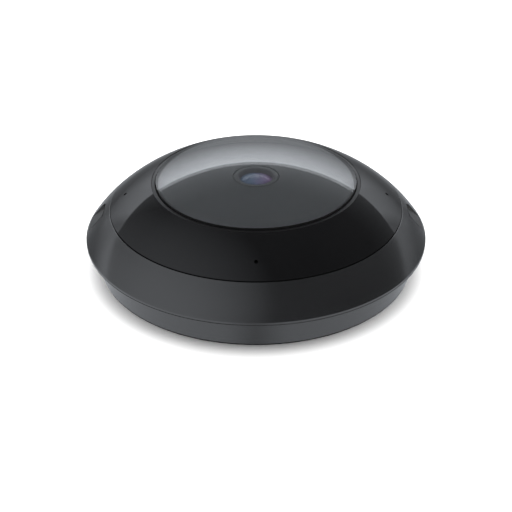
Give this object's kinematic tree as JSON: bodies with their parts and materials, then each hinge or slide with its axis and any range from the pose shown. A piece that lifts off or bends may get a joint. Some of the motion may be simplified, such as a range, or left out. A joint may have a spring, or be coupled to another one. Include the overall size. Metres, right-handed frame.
{
  "type": "360 degree ceiling camera",
  "caption": "Round ceiling camera: fisheye lens under a clear dome, dark infrared window ring, grey outer ring with finger notches, and a base on a twist-lock plate.",
  "frame": {"origin": "centre of the mounting face, in the plane of the ceiling", "axes": "+Z out of the ceiling through the top of the dome, -Y towards the viewer of the picture, X across, with the two finger notches two degrees behind it"},
  "size_m": [0.165, 0.165, 0.0542],
  "materials": {
    "plate_plastic": "fine moulded grain",
    "housing_grey": "satin, fine grain",
    "window_black": "polished, dark",
    "dome_clear": "polished, clear",
    "seal_rubber": "matt",
    "shroud_black": "matt",
    "cast_aluminium": "as cast",
    "lens_metal": "black anodised",
    "lens_glass": "coated",
    "filter_glass": "tinted",
    "board_laminate": "solder mask",
    "chip_plastic": "moulded",
    "pad_grey": "soft",
    "screw_steel": "zinc plated",
    "contact_gold": "gold flashed",
    "flex_film": "film",
    "copper_wire": "enamelled",
    "lamp_resin": "clear resin"
  },
  "bodies": {
    "mount": {"mount_plate": "plate_plastic"},
    "camera": {"base_shell": "housing_grey", "outer_ring": "housing_grey", "window_ring": "window_black", "dome_cover": "dome_clear", "base_gasket": "seal_rubber", "dome_gasket": "seal_rubber", "mic_boots": "seal_rubber", "lens_shroud": "shroud_black", "lens_holder": "shroud_black", "filter_frame": "shroud_black", "chassis": "cast_aluminium", "lens_lock_ring": "cast_aluminium", "lens_barrel": "lens_metal", "lens_retainer": "lens_metal", "front_element": "lens_glass", "rear_element": "lens_glass", "main_board": "board_laminate", "lamp_board": "board_laminate", "sensor_board": "board_laminate", "processor": "chip_plastic", "memory_chips": "chip_plastic", "image_sensor": "chip_plastic", "capacitors": "chip_plastic", "lamp_header": "chip_plastic", "flex_connectors": "chip_plastic", "network_jack": "chip_plastic", "thermal_pad": "pad_grey", "base_screws": "screw_steel", "window_screws": "screw_steel", "shroud_screws": "screw_steel", "board_screws": "screw_steel", "sensor_screws": "screw_steel", "reset_switch": "screw_steel", "motor_yoke": "screw_steel", "jack_contacts": "contact_gold", "microphones": "contact_gold", "sensor_flex": "flex_film", "power_transformer": "copper_wire", "motor_coil": "copper_wire", "infrared_lamps": "lamp_resin"},
    "shuttle": {"filter_shuttle": "shroud_black", "day_filter": "filter_glass", "night_filter": "lens_glass"},
    "lever": {"shuttle_lever": "screw_steel"},
    "reset": {"reset_button": "housing_grey", "reset_plunger": "shroud_black"}
  },
  "joints": [
    {"name": "twist_lock", "type": "hinge", "parent": "mount", "child": "camera", "pos_m": [0, 0, 0.004], "axis": [0, 0, 1], "range_deg": [0, 20]},
    {"name": "reset_press", "type": "slide", "parent": "camera", "child": "reset", "axis": [0, 0, 1], "range_m": [0, 0.0005], "stiffness_N_per_m": 300},
    {"name": "filter_slide", "type": "slide", "parent": "camera", "child": "shuttle", "axis": [-1, 0, 0], "range_m": [0, 0.0078]},
    {"name": "lever_swing", "type": "hinge", "parent": "camera", "child": "lever", "pos_m": [0, 0.01631, 0.0315], "axis": [0, 0, -1], "range_deg": [0, 51.41]}
  ],
  "couplings": [
    {"joint": "lever_swing", "follows": "filter_slide", "rad_per_m": 114.92}
  ]
}
